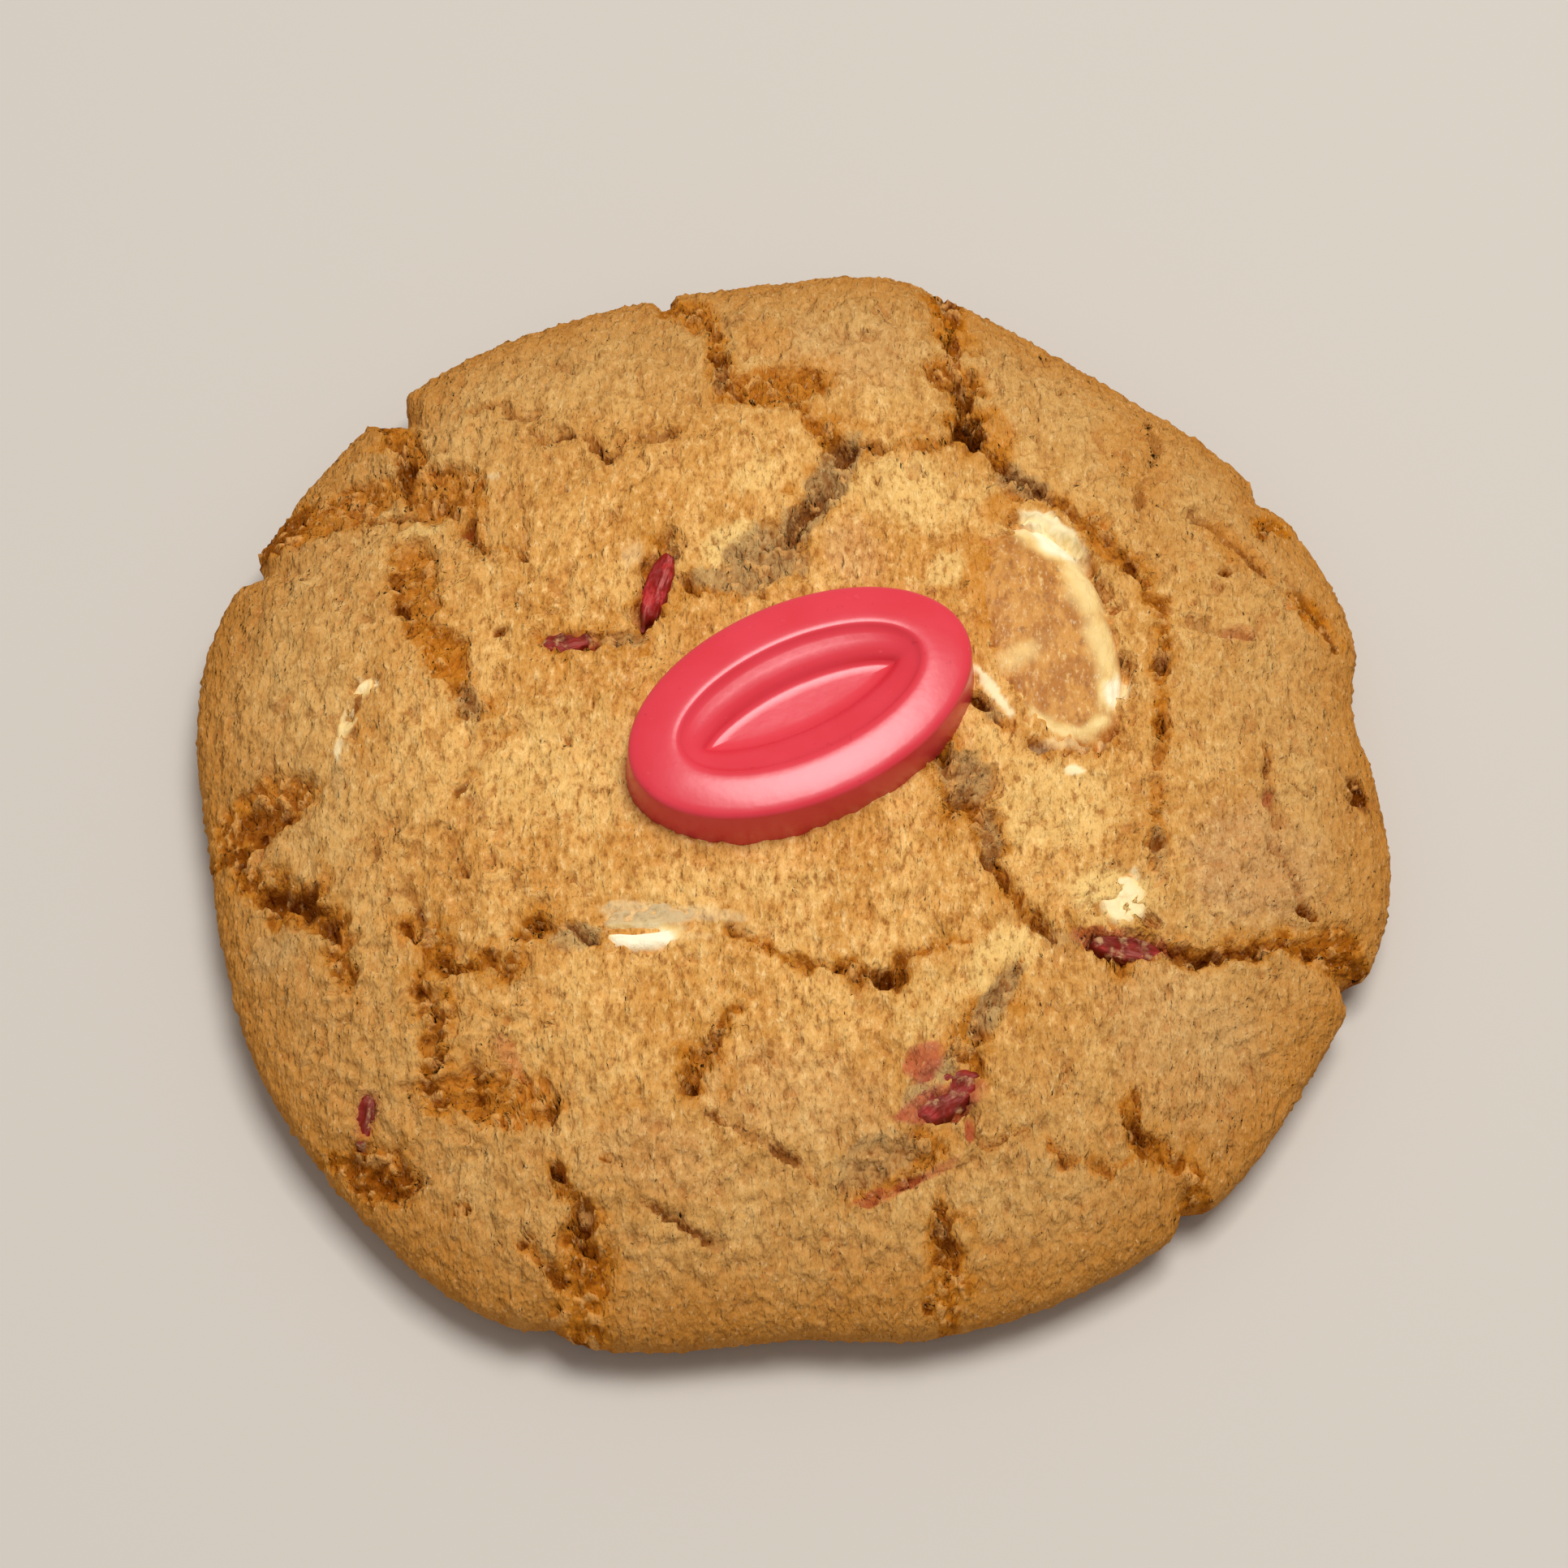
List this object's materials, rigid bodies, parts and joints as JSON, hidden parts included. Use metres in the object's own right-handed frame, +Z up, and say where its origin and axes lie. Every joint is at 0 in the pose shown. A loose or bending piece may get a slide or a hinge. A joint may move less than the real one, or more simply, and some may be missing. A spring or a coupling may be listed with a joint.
{
  "type": "strawberry cookie",
  "caption": "Thick round baked cookie with a cracked crumbly top, white chocolate and strawberry pieces baked in, and an oval pink disc set in the middle",
  "frame": {"origin": "centre of the cookie's footprint, on the surface that it lies on", "axes": "+Z up, +X to the right in the picture, +Y away from the viewer"},
  "size_m": [0.0928, 0.0916, 0.0203],
  "materials": {
    "baked_dough": "dry, crumbly baked crust, sandy gold with darker cracks",
    "pink_couverture": "moulded couverture with a satin sheen",
    "white_chocolate": "ivory, soft satin, toasted where it meets the crust",
    "baked_strawberry": "deep red, moist and leathery"
  },
  "bodies": {
    "root": {"cookie": "baked_dough", "strawberry_disc": "pink_couverture", "white_chunk_right": "white_chocolate", "white_chip_lower": "white_chocolate", "white_chip_star": "white_chocolate", "white_chip_left": "white_chocolate", "strawberry_upper": "baked_strawberry", "strawberry_left": "baked_strawberry", "strawberry_lower": "baked_strawberry", "strawberry_right": "baked_strawberry", "strawberry_south_west": "baked_strawberry"}
  },
  "joints": []
}
